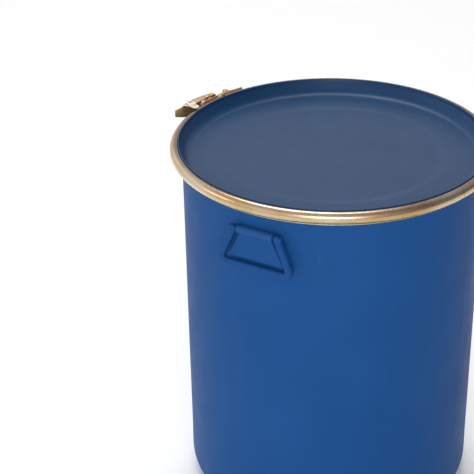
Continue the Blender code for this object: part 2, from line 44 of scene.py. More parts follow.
# ---------------------------------------------------------------- sizes, as in the CAD model
BODY_R = 185.3 * MM
DRAFT = 0.010
WALL = 3.6 * MM
CORNER = 40.0 * MM
RING_TOP = 477.5 * MM
RING_MID = 470.0 * MM
NECK_Z = 453.0 * MM
BEAD_Z = 470.0 * MM
BEAD_R = 195.8 * MM
MOUTH_R = 190.0 * MM
LID_TOP = 478.6 * MM
PANEL_Z = 461.0 * MM
RING_R = 199.85 * MM
RING_SHEET = 1.3 * MM
NOTCH_AT = math.radians(-13.0)
CLOSURE_AT = math.radians(165.0)
PIVOT_R = 205.5 * MM
CATCH_R = 203.4 * MM
CATCH_Y = 50.0 * MM
LEVER_PIVOT_Y = 10 * MM
LINK_PIN_Y = 19 * MM
ANCHOR_PIN_Y = -14 * MM
ARC_R = 0.2  # radius used to turn a length along the ring into an angle
HANDLE_OUT = 190.0 * MM
HANDLE_Z = 436.0 * MM
PAD_FACE = 190.1 * MM
FRONT = -math.pi / 2
BACK = math.pi / 2


# ---------------------------------------------------------------- mesh tools
def new_object(name, mesh):
    obj = bpy.data.objects.new(name, mesh)
    bpy.context.scene.collection.objects.link(obj)
    return obj


def shade(obj, angle=35.0):
    obj.data.shade_smooth()
    obj.data.set_sharp_from_angle(angle=math.radians(angle))


def place_piece(obj, body, look, nodes=(), angle=35.0):
    """Gives a piece its material and its body, and hides the CAD nodes it stands for."""
    obj.data.materials.clear()
    obj.data.materials.append(look)
    shade(obj, angle)
    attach(obj, body)
    if nodes:
        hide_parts(*nodes)
    return obj


def lattice(name, points, wrap_u=False, wrap_v=False, cap_u=False):
    """A skin of quads over points[u][v]."""
    points = np.asarray(points, float)
    nu, nv = points.shape[:2]
    index = np.arange(nu * nv).reshape(nu, nv)
    u = np.arange(nu if wrap_u else nu - 1)
    v = np.arange(nv if wrap_v else nv - 1)
    uu, vv = np.meshgrid(u, v, indexing="ij")
    un = (uu + 1) % nu
    vn = (vv + 1) % nv
    quads = np.stack([index[uu, vv], index[un, vv], index[un, vn], index[uu, vn]], -1)
    faces = quads.reshape(-1, 4).tolist()
    if cap_u:
        faces.append(index[0].tolist())
        faces.append(index[-1].tolist()[::-1])
    mesh = bpy.data.meshes.new(name)
    mesh.from_pydata(points.reshape(-1, 3).tolist(), [], faces)
    shape = bmesh.new()
    shape.from_mesh(mesh)
    bmesh.ops.remove_doubles(shape, verts=shape.verts, dist=0.0000005)
    bmesh.ops.dissolve_degenerate(shape, edges=shape.edges, dist=0.0000005)
    bmesh.ops.recalc_face_normals(shape, faces=shape.faces)
    shape.to_mesh(mesh)
    shape.free()
    return mesh


def arc(centre, radii, start, end, steps):
    a = np.radians(np.linspace(start, end, steps + 1))
    return [
        (centre[0] + radii[0] * math.cos(t), centre[1] + radii[1] * math.sin(t)) for t in a
    ]


def rounded(points, radius, steps=4):
    """The chain of points with each inner corner rounded by an arc, as a list of points."""
    out = [tuple(points[0])]
    for before, corner, after in zip(points, points[1:], points[2:]):
        corner = Vector(corner)
        back = Vector(before) - corner
        on = Vector(after) - corner
        half = back.angle(on) / 2
        reach = min(radius / math.tan(half), 0.45 * back.length, 0.45 * on.length)
        if half > math.radians(88.5):
            out.append(tuple(corner))
            continue
        first = corner + back.normalized() * reach
        last = corner + on.normalized() * reach
        for i in range(steps + 1):
            t = i / steps
            point = first * (1 - t) ** 2 + corner * 2 * t * (1 - t) + last * t**2
            out.append(tuple(point))
    out.append(tuple(points[-1]))
    return out


def refined(points, longest):
    """The chain with points added so that no step is longer than this."""
    out = [points[0]]
    for a, b in zip(points, points[1:]):
        count = max(1, math.ceil(math.dist(a, b) / longest))
        for i in range(1, count + 1):
            t = i / count
            out.append((a[0] + (b[0] - a[0]) * t, a[1] + (b[1] - a[1]) * t))
    return out


def turned_points(profile, angles):
    profile = np.asarray(profile, float)
    r = profile[None, :, 0]
    z = np.broadcast_to(profile[None, :, 1], (len(angles), len(profile)))
    c = np.cos(angles)[:, None]
    s = np.sin(angles)[:, None]
    return np.stack([r * c, r * s, z], -1)


def turned(name, profile, segments, closed=False):
    angles = np.linspace(0, 2 * math.pi, segments, endpoint=False)
    return lattice(name, turned_points(profile, angles), wrap_u=True, wrap_v=closed)


def soft_noise(points, scale, seed):
    """Slow, smooth unevenness between -1 and 1, from a few sine waves of fixed directions."""
    rng = np.random.default_rng(seed)
    total = np.zeros(points.shape[:-1])
    for _ in range(6):
        direction = rng.normal(size=3)
        direction /= np.linalg.norm(direction)
        frequency = 2 * math.pi / scale * rng.uniform(0.6, 1.4)
        total += np.sin(points @ direction * frequency + rng.uniform(0, 6.28))
    return total / 6


def plate(name, outline, low, high):
    """A flat plate: an outline in XY, from low to high along Z."""
    shape = bmesh.new()
    ring = [shape.verts.new((x, y, low)) for x, y in outline]
    face = shape.faces.new(ring)
    made = bmesh.ops.extrude_face_region(shape, geom=[face])
    top = [v for v in made["geom"] if isinstance(v, bmesh.types.BMVert)]
    bmesh.ops.translate(shape, verts=top, vec=(0, 0, high - low))
    bmesh.ops.recalc_face_normals(shape, faces=shape.faces)
    mesh = bpy.data.meshes.new(name)
    shape.to_mesh(mesh)
    shape.free()
    return mesh


def stroke(points, half_width, radius, steps=10, end_steps=14):
    """The outline of a bar along a chain of points, with rounded corners and half-round ends."""
    line = [Vector(points[0])]
    for before, corner, after in zip(points, points[1:], points[2:]):
        corner = Vector(corner)
        back = (Vector(before) - corner).normalized()
        on = (Vector(after) - corner).normalized()
        half = back.angle(on) / 2
        centre = corner + (back + on).normalized() * radius / math.sin(half)
        first = corner + back * radius / math.tan(half) - centre
        last = corner + on * radius / math.tan(half) - centre
        sweep = first.angle_signed(last)
        line += [
            centre + Matrix.Rotation(-sweep * i / steps, 2) @ first for i in range(steps + 1)
        ]
    line.append(Vector(points[-1]))
    left, right = [], []
    for i, here in enumerate(line):
        ahead = line[min(i + 1, len(line) - 1)] - line[max(i - 1, 0)]
        across = Vector((-ahead.y, ahead.x)).normalized() * half_width
        left.append(here + across)
        right.append(here - across)

    def round_end(tip, start):
        turns = [-math.pi * i / end_steps for i in range(1, end_steps)]
        return [tip + Matrix.Rotation(t, 2) @ start for t in turns]

    outline = left + round_end(line[-1], left[-1] - line[-1])
    outline += right[::-1] + round_end(line[0], right[0] - line[0])
    return [(p.x, p.y) for p in outline]


def finished(obj):
    """Applies an object's modifiers, so that its mesh is what is seen."""
    graph = bpy.context.evaluated_depsgraph_get()
    mesh = bpy.data.meshes.new_from_object(obj.evaluated_get(graph))
    obj.modifiers.clear()
    obj.data = mesh
    return obj


def bevelled(obj, width, segments, angle):
    bevel = obj.modifiers.new("Edges", "BEVEL")
    bevel.width = width
    bevel.segments = segments
    bevel.limit_method = "ANGLE"
    bevel.angle_limit = math.radians(angle)
    bevel.use_clamp_overlap = True
    return finished(obj)


def cut(obj, low, high, turn):
    """Cuts a box out of an object; the box is given as if its angle round the drum were 0."""
    low, high = Vector(low), Vector(high)
    size = Matrix.Diagonal((*(high - low), 1.0))
    shape = bmesh.new()
    middle = Matrix.Translation((low + high) / 2)
    bmesh.ops.create_cube(shape, size=1.0, matrix=Matrix.Rotation(turn, 4, "Z") @ middle @ size)
    mesh = bpy.data.meshes.new("block")
    shape.to_mesh(mesh)
    shape.free()
    block = new_object("block", mesh)
    boolean = obj.modifiers.new("Cut", "BOOLEAN")
    boolean.operation = "DIFFERENCE"
    boolean.solver = "EXACT"
    boolean.object = block
    finished(obj)
    bpy.data.objects.remove(block, do_unlink=True)


# ---------------------------------------------------------------- materials
class Look:
    """A small helper for building one Principled material from nodes."""

    def __init__(self, name):
        self.material = bpy.data.materials.new(name)
        self.material.use_nodes = True
        self.nodes = self.material.node_tree.nodes
        self.links = self.material.node_tree.links
        self.shader = self.nodes["Principled BSDF"]
        self.where = self.nodes.new("ShaderNodeTexCoord").outputs["Object"]

    def link(self, value, socket):
        if isinstance(value, bpy.types.NodeSocket):
            self.links.new(value, socket)
        elif value is not None:
            socket.default_value = value

    def math(self, operation, a, b=None):
        node = self.nodes.new("ShaderNodeMath")
        node.operation = operation
        for socket, value in zip(node.inputs, (a, b)):
            self.link(value, socket)
        return node.outputs[0]

    def stretched(self, factors, source=None):
        node = self.nodes.new("ShaderNodeVectorMath")
        node.operation = "MULTIPLY"
        self.link(source or self.where, node.inputs[0])
        node.inputs[1].default_value = factors
        return node.outputs[0]

    def round_the_drum(self):
        """Coordinates (distance round the axis, radius, height), in metres."""
        split = self.nodes.new("ShaderNodeSeparateXYZ")
        self.link(self.where, split.inputs[0])
        x, y, z = split.outputs
        turn = self.math("MULTIPLY", self.math("ARCTAN2", y, x), ARC_R)
        squares = [self.math("MULTIPLY", side, side) for side in (x, y)]
        radius = self.math("SQRT", self.math("ADD", *squares))
        join = self.nodes.new("ShaderNodeCombineXYZ")
        for socket, value in zip(join.inputs, (turn, radius, z)):
            self.link(value, socket)
        return join.outputs[0]

    def noise(self, scale, detail=3.0, roughness=0.5, source=None, distortion=0.0):
        node = self.nodes.new("ShaderNodeTexNoise")
        self.link(source or self.where, node.inputs["Vector"])
        node.inputs["Scale"].default_value = scale
        node.inputs["Detail"].default_value = detail
        node.inputs["Roughness"].default_value = roughness
        node.inputs["Distortion"].default_value = distortion
        return node.outputs[0]

    def range(self, value, low, high, to_low, to_high):
        node = self.nodes.new("ShaderNodeMapRange")
        node.clamp = True
        for socket, number in zip(node.inputs, (value, low, high, to_low, to_high)):
            self.link(number, socket)
        return node.outputs[0]

    def ramp(self, value, stops):
        node = self.nodes.new("ShaderNodeValToRGB")
        self.link(value, node.inputs[0])
        ramp = node.color_ramp
        while len(ramp.elements) < len(stops):
            ramp.elements.new(0.5)
        for element, (at, colour) in zip(ramp.elements, stops):
            element.position = at
            element.color = (*colour, 1.0)
        return node.outputs[0]

    def mix(self, share, a, b):
        node = self.nodes.new("ShaderNodeMix")
        node.data_type = "RGBA"
        self.link(share, node.inputs["Factor"])
        for socket, value in zip((node.inputs[6], node.inputs[7]), (a, b)):
            self.link((*value, 1.0) if isinstance(value, tuple) else value, socket)
        return node.outputs[2]

    def bump(self, height, strength, distance, below=None):
        node = self.nodes.new("ShaderNodeBump")
        node.inputs["Strength"].default_value = strength
        node.inputs["Distance"].default_value = distance
        self.link(height, node.inputs["Height"])
        if below is not None:
            self.link(below, node.inputs["Normal"])
        return node.outputs[0]

    def edge_wear(self):
        """High on convex edges and low in hollows."""
        return self.nodes.new("ShaderNodeNewGeometry").outputs["Pointiness"]

    def set(self, **values):
        for name, value in values.items():
            self.link(value, self.shader.inputs[name.replace("_", " ")])
        return self.material


def moulded_plastic(name, deep, pale, rough_low, rough_high, shine=0.09):
    """Blow-moulded polyethylene: slow cloudiness, fine grain, faint scuffs and paler worn edges."""
    look = Look(name)
    cloud = look.noise(9.0, 4.0, 0.55)
    colour = look.mix(look.range(cloud, 0.35, 0.65, 0.0, 1.0), deep, pale)
    scuff_where = look.noise(38.0, 6.0, 0.65, look.stretched((1.0, 1.0, 0.22)), 0.4)
    scuff = look.range(scuff_where, 0.64, 0.80, 0.0, 0.20)
    chalk_share, chalk_grey = 0.18, 0.45
    chalk = tuple(0.82 * p + chalk_share * chalk_grey for p in pale)
    colour = look.mix(scuff, colour, chalk)
    wear = look.range(look.edge_wear(), 0.53, 0.62, 0.0, 0.30)
    colour = look.mix(wear, colour, chalk)
    fine = look.noise(900.0, 3.0, 0.6)
    orange_peel = look.noise(170.0, 2.0, 0.5)
    slow = look.noise(22.0, 2.0, 0.5)
    rough = look.range(look.noise(30.0, 5.0, 0.6), 0.3, 0.7, rough_low, rough_high)
    normal = look.bump(slow, 0.25, 0.0010)
    normal = look.bump(orange_peel, 0.14, 0.00030, normal)
    normal = look.bump(fine, 0.20, 0.00008, normal)
    return look.set(
        Base_Color=colour,
        Roughness=rough,
        Normal=normal,
        IOR=1.50,
        Specular_IOR_Level=shine,
    )


def yellow_zinc(name, dulled=0.0, shade_strength=1.0):
    """Yellow passivated zinc on sheet steel: tints, drawn lines, painted shade in the groove and along
    the top edge, and wear.
    """
    look = Look(name)
    around = look.round_the_drum()
    split = look.nodes.new("ShaderNodeSeparateXYZ")
    look.link(look.where, split.inputs[0])
    up = look.range(split.outputs[2], 0.460, 0.4775, 0.0, 1.0)
    patches = look.noise(11.0, 4.0, 0.6, look.stretched((1.0, 2.0, 2.0), around), 0.8)
    film = look.math("ADD", up, look.range(patches, 0.3, 0.7, -0.25, 0.25))
    colour = look.ramp(
        film,
        (
            (0.00, (0.46, 0.50, 0.34)),
            (0.25, (0.56, 0.50, 0.26)),
            (0.45, (0.60, 0.44, 0.20)),
            (0.65, (0.50, 0.33, 0.13)),
            (0.85, (0.62, 0.36, 0.20)),
            (1.00, (0.42, 0.29, 0.20)),
        ),
    )
    pale = look.noise(7.0, 2.0, 0.5, around)
    colour = look.mix(look.range(pale, 0.50, 0.68, 0.0, 0.60), colour, (0.80, 0.72, 0.58))
    # Painted shade: a dark band in the groove above the lower lip, patchy round the ring.
    above, below = look.range(up, 0.07, 0.13, 0.0, 1.0), look.range(up, 0.20, 0.32, 1.0, 0.0)
    groove = look.math("MULTIPLY", above, below)
    groove_shade_patches = look.noise(9.0, 3.0, 0.6, around)
    groove_shade_patches = look.range(groove_shade_patches, 0.35, 0.55, 0.25 * shade_strength, 0.80 * shade_strength)
    groove_shade = look.math("MULTIPLY", groove, groove_shade_patches)
    colour = look.mix(groove_shade, colour, (0.07, 0.055, 0.02))
    # Painted shade: a dark line along the ring's top edge.
    above, below = look.range(up, 0.95, 1.0, 0.0, 0.75 * shade_strength), look.range(up, 1.0, 1.02, 1.0, 0.0)
    top_edge_shade = look.math("MULTIPLY", above, below)
    colour = look.mix(top_edge_shade, colour, (0.09, 0.07, 0.05))
    spots = look.noise(210.0, 5.0, 0.7)
    colour = look.mix(look.range(spots, 0.60, 0.78, 0.0, 0.50), colour, (0.14, 0.10, 0.04))
    wear = look.range(look.edge_wear(), 0.53, 0.62, 0.0, 0.35)
    colour = look.mix(wear, colour, (0.72, 0.66, 0.50))
    drawn = look.noise(150.0, 3.0, 0.7, look.stretched((0.05, 6.0, 6.0), around))
    cloud = look.range(patches, 0.3, 0.7, 0.17, 0.27)
    rough = look.math("ADD", cloud, look.range(spots, 0.4, 0.8, dulled, dulled + 0.16))
    normal = look.bump(drawn, 0.20, 0.00012)
    normal = look.bump(look.noise(60.0, 3.0, 0.5), 0.12, 0.0005, normal)
    return look.set(Base_Color=colour, Roughness=rough, Metallic=1.0, Normal=normal)


def seal_rubber(name):
    look = Look(name)
    dust = look.noise(120.0, 5.0, 0.65)
    colour = look.mix(look.range(dust, 0.45, 0.75, 0.0, 1.0), (0.013, 0.013, 0.014), (0.05, 0.05, 0.05))
    rough = look.range(dust, 0.3, 0.7, 0.55, 0.75)
    return look.set(Base_Color=colour, Roughness=rough, Normal=look.bump(dust, 0.25, 0.0002))


# ---------------------------------------------------------------- drum body
def smooth_step(x):
    x = np.clip(x, 0.0, 1.0)
    return x * x * (3 - 2 * x)


def wall_radius(z):
    return BODY_R - DRAFT * (NECK_Z - z)


def pad_share(x, z):
    """How much of the raised handle pad stands at x along it and height z, from 0 to 1."""
    top_x, low_x = 23.6 * MM, 38.8 * MM
    top_z, neck_z, low_z = 438.0 * MM, 428.6 * MM, 396.8 * MM
    slope = (low_x - top_x) / (neck_z - low_z)
    half = top_x + slope * np.maximum(neck_z - z, 0.0)
    side = (half - np.abs(x)) / math.hypot(1.0, slope)
    bottom = z - low_z
    top = top_z - z
    corner = 3.0 * MM
    dx = corner - side
    dz = corner - bottom
    rounded_in = corner - np.hypot(np.maximum(dx, 0), np.maximum(dz, 0))
    inside = np.where((dx > 0) & (dz > 0), rounded_in, np.minimum(side, bottom))
    inside = np.minimum(inside, top)
    return smooth_step((inside + 0.2 * MM) / (2.6 * MM))


def body_skins():
    """The outer profile from the mouth down to the base's centre, and the inner one back up."""
    low_r = wall_radius(CORNER)
    bead = [
        (MOUTH_R + 1.2 * MM, BEAD_Z),
        (BEAD_R - 0.2 * MM, BEAD_Z),
        (BEAD_R, BEAD_Z - 4.4 * MM),
        (BODY_R + 6.6 * MM, BEAD_Z - 5.2 * MM),
        (BODY_R + 1.6 * MM, BEAD_Z - 10.4 * MM),
        (BODY_R, NECK_Z),
        (wall_radius(440 * MM), 440 * MM),
    ]
    outer = rounded(bead, 2.0 * MM, 5)
    outer = outer[:-1] + [(wall_radius(441 * MM), 441 * MM)]
    for z in np.arange(440.2, 392.0, -0.8):
        outer.append((wall_radius(z * MM), z * MM))
    for z in np.arange(385.0, 41.0, -6.0):
        outer.append((wall_radius(z * MM), z * MM))
    outer += arc((low_r - CORNER, CORNER), (CORNER, CORNER), 0, -90, 24)
    foot = [(low_r - CORNER, 0.0), (112 * MM, 0.0), (104 * MM, 2.9 * MM), (56 * MM, 2.9 * MM)]
    foot += [(48 * MM, 0.0), (0.0, 0.0)]
    outer += refined(rounded(foot, 6 * MM, 5), 14 * MM)[1:]
    inner_r = low_r - WALL
    radius = CORNER - WALL
    floor = 43.4 * MM
    inner = [(0.0, floor - radius), (inner_r - radius, floor - radius)]
    inner += arc((inner_r - radius, floor), (radius, radius), -90, 0, 16)[1:]
    flare = [
        inner[-1],
        (MOUTH_R - 8.3 * MM, BEAD_Z - 16.0 * MM),
        (MOUTH_R - 5.9 * MM, BEAD_Z - 9.2 * MM),
        (MOUTH_R, BEAD_Z - 0.6 * MM),
        (MOUTH_R + 1.2 * MM, BEAD_Z),
    ]
    inner = refined(inner[:-1] + rounded(flare, 3.0 * MM, 4)[:-1], 20 * MM)
    return outer, inner


def make_body(look):
    outer, inner = body_skins()
    fine = np.radians(np.arange(-15.0, 15.01, 0.2))
    coarse = np.radians(np.arange(16.5, 163.6, 1.5))
    angles = np.concatenate([FRONT + fine, FRONT + coarse, BACK + fine, BACK + coarse])
    points = turned_points(outer + inner, angles)
    skin = points[:, : len(outer)]
    r = np.hypot(skin[..., 0], skin[..., 1])
    z = skin[..., 2]
    turn = np.broadcast_to(angles[:, None], r.shape)
    grown = r.copy()
    for centre in (FRONT, BACK):
        off = (turn - centre + math.pi) % (2 * math.pi) - math.pi
        near = np.abs(off) < math.radians(15.5)
        face = PAD_FACE - 0.5 * MM * smooth_step(np.abs(r * np.sin(off)) / (60 * MM))
        target = face / np.cos(np.where(near, off, 0.0))
        share = np.where(near, pad_share(r * np.sin(off), z), 0.0)
        share = np.where((z > 390 * MM) & (z < 441 * MM), share, 0.0)
        grown += share * (target - r)
    low, high = 45 * MM, 455 * MM
    middle = (z > low) & (z < high)
    fade = smooth_step((z - low) / (30 * MM)) * smooth_step((high - z) / (25 * MM))
    grown -= np.where(middle, fade * 0.25 * MM * (1 + soft_noise(skin, 0.16, 4)), 0.0)
    seam = np.abs(np.sin(turn))
    grown += np.where(middle, fade * 0.22 * MM * np.exp(-((seam / 0.0045) ** 2)), 0.0)
    scale = np.where(r > 1e-9, grown / np.maximum(r, 1e-9), 1.0)
    skin[..., 0] *= scale
    skin[..., 1] *= scale
    mesh = lattice("body_shell", points, wrap_u=True, wrap_v=True)
    body = new_object("body_shell", mesh)
    place_piece(body, "drum", look, ["drum_body"], 40.0)


def make_barrel(side, centre, look):
    """The half-round pivot bar moulded across the top of a handle pad."""
    radius = 4.9 * MM
    root = -180.5 * MM
    tuck = radius * 0.92
    section = [(root, -tuck)]
    section += arc((-HANDLE_OUT, 0.0), (radius, radius), -110, -250, 20)
    section += [(root, tuck)]
    section = refined(section, 3 * MM)
    middle = np.array([-HANDLE_OUT + 2 * MM, 0.0])
    half = 24.2 * MM
    stations = [(-half, 0.80), (-half + 0.3 * MM, 0.91), (-half + 1.0 * MM, 1.0)]
    stations += [(half - 1.0 * MM, 1.0), (half - 0.3 * MM, 0.91), (half, 0.80)]
    points = []
    for x, grow in stations:
        row = []
        for y, z in section:
            dy, dz = (np.array([y, z]) - middle) * grow
            row.append((x, middle[0] + dy, HANDLE_Z + middle[1] + dz))
        points.append(row)
    name = side + "_pivot_bar"
    bar = new_object(name, lattice(name, points, wrap_v=True, cap_u=True))
    bar.data.transform(Matrix.Rotation(centre - FRONT, 4, "Z"))
    place_piece(bar, "drum", look, angle=40.0)


# ---------------------------------------------------------------- handles
def make_handle(side, centre, look):
    """A moulded loop with soft edges and pivot bosses."""
    top_x, low_x, low_z = 29.5 * MM, 48.5 * MM, -46.0 * MM
    line = [(-top_x, 0.0), (-low_x, low_z), (low_x, low_z), (top_x, 0.0)]
    outline = stroke(line, 4.45 * MM, 7.5 * MM)
    mesh = plate(side + "_handle_loop", outline, -3.95 * MM, 3.95 * MM)
    loop = bevelled(new_object(side + "_handle_loop", mesh), 2.3 * MM, 5, 60.0)
    move = Matrix.Rotation(centre - FRONT, 4, "Z")
    move = move @ Matrix.Translation((0.0, -HANDLE_OUT, HANDLE_Z))
    move = move @ Matrix.Rotation(math.pi / 2, 4, "X")
    loop.data.transform(move)
    body = side + "_handle"
    place_piece(loop, body, look, [side + "_handle"], 50.0)
    for label, sign in (("left", -1), ("right", 1)):
        inward = [
            (0.0, 17.6 * MM),
            (2.0 * MM, 17.6 * MM),
            (2.45 * MM, 18.0 * MM),
            (2.45 * MM, 33.3 * MM),
            (3.3 * MM, 33.4 * MM),
            (3.3 * MM, 34.3 * MM),
            (2.7 * MM, 34.8 * MM),
            (0.0, 35.0 * MM),
        ]
        name = side + "_handle_stud_" + label
        stud = new_object(name, turned(name, inward[::-1], 40))
        lay = Matrix.Rotation(sign * math.pi / 2, 4, "Y")
        shift = Matrix.Translation((0.0, -HANDLE_OUT, HANDLE_Z))
        stud.data.transform(Matrix.Rotation(centre - FRONT, 4, "Z") @ shift @ lay)
        place_piece(stud, body, look)


# ---------------------------------------------------------------- lid
def make_lid(look, rubber):
    step_r = 135.0 * MM
    t = 2.5 * MM
    step = 1.2 * MM
    centre = refined([(0.0, PANEL_Z - step), (step_r - 7 * MM, PANEL_Z - step)], 6 * MM)
    slope = []
    for i in range(1, 13):
        share = i / 12
        depth = step * (1 - float(smooth_step(share)))
        slope.append((step_r - 7 * MM + 14 * MM * share, PANEL_Z - depth))
    cove = (172.5 * MM, PANEL_Z + 12.5 * MM)
    wall = arc(cove, (12.5 * MM, 12.5 * MM), -90, -31.7, 14)
    wall = refined([slope[-1], wall[0]], 6 * MM)[:-1] + wall
    rim = [
        wall[-1],
        (187.9 * MM, LID_TOP - 4.0 * MM),
        (188.9 * MM, LID_TOP + 0.05 * MM),
        (190.4 * MM, LID_TOP - 0.05 * MM),
        (190.5 * MM, RING_TOP - 2.0 * MM),
        (194.2 * MM, RING_TOP - 2.0 * MM),
        (197.5 * MM, RING_TOP - 5.2 * MM),
        (197.5 * MM, RING_TOP - 9.8 * MM),
        (196.1 * MM, RING_TOP - 9.8 * MM),
        (196.1 * MM, RING_TOP - 4.6 * MM),
        (190.0 * MM, RING_TOP - 4.6 * MM),
        (183.5 * MM, PANEL_Z + 1.2 * MM),
        (176.0 * MM, PANEL_Z - t),
        (step_r + 7 * MM, PANEL_Z - t),
        (step_r - 7 * MM, PANEL_Z - t - step),
        (0.0, PANEL_Z - t - step),
    ]
    edge = refined(rounded(rim, 1.4 * MM, 7), 8 * MM)
    profile = centre + slope + wall[1:] + edge[1:]
    points = turned_points(profile, np.linspace(0, 2 * math.pi, 288, endpoint=False))
    r = np.hypot(points[..., 0], points[..., 1])
    flat = smooth_step((165 * MM - r) / (30 * MM)) * (points[..., 2] > PANEL_Z - 1 * MM)
    points[..., 2] += flat * 0.22 * MM * soft_noise(points * (1, 1, 0), 0.13, 9)
    lid = new_object("lid_shell", lattice("lid_shell", points, wrap_u=True))
    place_piece(lid, "lid", look, ["lid"], 40.0)
    low, high = BEAD_Z + 0.3 * MM, RING_TOP - 4.9 * MM
    section = [(190.7 * MM, low), (194.9 * MM, low), (194.9 * MM, high), (190.7 * MM, high)]
    section = rounded(section + section[:2], 0.9 * MM, 4)[1:-1]
    seal = new_object("seal_ring", turned("seal_ring", section[::-1], 192, closed=True))
    place_piece(seal, "lid", rubber, ["lid_gasket"], 40.0)


# ---------------------------------------------------------------- clamp ring
def ring_section():
    """The ring's closed section: a rolled band with a plain upper lip and a flared lower lip."""
    centre = (192.7 * MM, RING_MID)
    line = arc(centre, (RING_R - centre[0], 7.45 * MM), 102, -66, 26)
    foot = [line[-1], (191.4 * MM, RING_TOP - 15.2 * MM), (191.9 * MM, RING_TOP - 17.35 * MM)]
    line = line[:-1] + rounded(foot, 2.0 * MM, 4)
    line = np.array(line)
    along = np.gradient(line, axis=0)
    along /= np.linalg.norm(along, axis=1)[:, None]
    inward = np.stack([along[:, 1], -along[:, 0]], -1)
    inside = line + inward * RING_SHEET
    first = (line[0] + inside[0]) / 2 - along[0] * 0.35 * MM
    last = (line[-1] + inside[-1]) / 2 + along[-1] * 0.35 * MM
    return np.concatenate([line, last[None], inside[::-1], first[None]])


def make_ring_half(name, start, end, body, node, sign, look):
    section = ring_section()
    angles = np.linspace(start, end, round(abs(end - start) / math.radians(1.0)) + 1)
    points = turned_points(section, angles)
    half = new_object(name, lattice(name, points, wrap_v=True, cap_u=True))
    reach = sorted((-sign * 2 * MM, sign * 5 * MM))
    low, high = RING_TOP - 24 * MM, RING_MID - 4.1 * MM
    cut(half, (184 * MM, reach[0], low), (206 * MM, reach[1], high), NOTCH_AT)
    place_piece(half, body, look, [node], 32.0)


def make_ring(look):
    end_turn = 3.0 * MM / ARC_R
    slit = 0.25 * MM / ARC_R
    link_span = (NOTCH_AT + slit, CLOSURE_AT - end_turn)
    lever_span = (CLOSURE_AT + end_turn, NOTCH_AT - slit + 2 * math.pi)
    make_ring_half(
        "ring_band_link_half", *link_span, "ring_link_end", "clamp_ring_link_half", 1, look
    )
    make_ring_half("ring_band_lever_half", *lever_span, "ring", "clamp_ring_lever_half", -1, look)


# ---------------------------------------------------------------- closure
def formed_copy(name, node, body, look, width):
    """A formed piece with the CAD node's shape and soft sheet edges."""
    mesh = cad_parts[node].data.copy()
    mesh.name = name
    shape = bmesh.new()
    shape.from_mesh(mesh)
    bmesh.ops.remove_doubles(shape, verts=shape.verts, dist=0.000002)
    bmesh.ops.dissolve_limit(
        shape, angle_limit=math.radians(2.0), verts=shape.verts, edges=shape.edges
    )
    shape.to_mesh(mesh)
    shape.free()
    obj = new_object(name, mesh)
    bevelled(obj, width, 3, 35.0)
    place_piece(obj, body, look, [node], 45.0)


def dome(at, radii, start, end):
    """A quarter of an ellipse about the axis, with no point left on the far side of it."""
    return [(max(r, 0.0), z) for r, z in arc(at, radii, start, end, 8)]


def pin_profile(low, high, radius, head_r, head):
    """Half the section of a headed pin, from the top of one head to the foot of the other."""
    upper = dome((0.0, high), (head_r, head), 90, 0)
    lower = dome((0.0, low), (head_r, head), 0, -90)
    return upper + [(radius, high), (radius, low)] + lower


def make_pin(name, node, body, look, at, low, high, head_r, head):
    profile = pin_profile(RING_MID + low, RING_MID + high, 1.95 * MM, head_r, head)
    pin = new_object(name, turned(name, profile, 40))
    place = Matrix.Rotation(CLOSURE_AT, 4, "Z") @ Matrix.Translation((at[0], at[1], 0.0))
    pin.data.transform(place)
    place_piece(pin, body, look, [node], 30.0)


def make_rivet(name, node, body, look, y):
    """A domed rivet that points out from the ring's wall."""
    face = 202.3 * MM
    shank_r, tail = 1.9 * MM, 198.9 * MM
    profile = dome((0.0, face), (3.3 * MM, 1.15 * MM), 90, 0)
    profile += [(shank_r, face), (shank_r, tail), (0.0, tail)]
    rivet = new_object(name, turned(name, profile, 40))
    turn = Matrix.Rotation(CLOSURE_AT + y / ARC_R, 4, "Z")
    place = Matrix.Translation((0.0, 0.0, RING_MID)) @ turn @ Matrix.Rotation(math.pi / 2, 4, "Y")
    rivet.data.transform(place)
    place_piece(rivet, body, look, [node], 30.0)


def make_closure(zinc, cream):
    formed_copy("lever_formed", "closing_lever", "lever", zinc, 0.45 * MM)
    formed_copy("lever_bracket_formed", "lever_bracket", "ring", zinc, 0.30 * MM)
    formed_copy("link_anchor_formed", "link_anchor", "ring_link_end", zinc, 0.30 * MM)
    formed_copy("tension_link_formed", "tension_link", "link", zinc, 0.30 * MM)
    formed_copy("safety_catch_moulded", "safety_catch", "catch", cream, 0.35 * MM)
    head = 0.85 * MM
    wide = 3.2 * MM
    make_pin("pivot_rivet_upper", "lever_pivot_upper", "ring", zinc,
             (PIVOT_R, LEVER_PIVOT_Y), 5.1 * MM, 9.3 * MM, wide, head)
    make_pin("pivot_rivet_lower", "lever_pivot_lower", "ring", zinc,
             (PIVOT_R, LEVER_PIVOT_Y), -9.3 * MM, -5.1 * MM, wide, head)
    make_pin("link_rivet", "link_pin", "lever", zinc,
             (PIVOT_R, LINK_PIN_Y), -9.3 * MM, 9.3 * MM, wide, head)
    make_pin("anchor_rod", "anchor_pin", "ring_link_end", zinc,
             (PIVOT_R, ANCHOR_PIN_Y), -7.4 * MM, 7.4 * MM, wide, head)
    make_pin("catch_rivet", "catch_pin", "lever", zinc,
             (CATCH_R, CATCH_Y), 7.1 * MM, 11.2 * MM, 2.8 * MM, 0.9 * MM)
    for i, y in enumerate((27 * MM, 34 * MM), 1):
        make_rivet("bracket_rivet_head_%d" % i, "bracket_rivet_%d" % i, "ring", zinc, y)
        make_rivet("anchor_rivet_head_%d" % i, "anchor_rivet_%d" % i, "ring_link_end", zinc, -y)


# ---------------------------------------------------------------- stage, light and camera
CAMERA_TURN = math.radians(27.5)
CAMERA_RISE = math.radians(24.8)
CAMERA_REACH = 2.0365
CAMERA_AIM_Z = 479.0 * MM
AIM_LEFT = 0.0569
AIM_DOWN = 0.0600
AIM_ROLL = 0.0143
LENS = 126.2


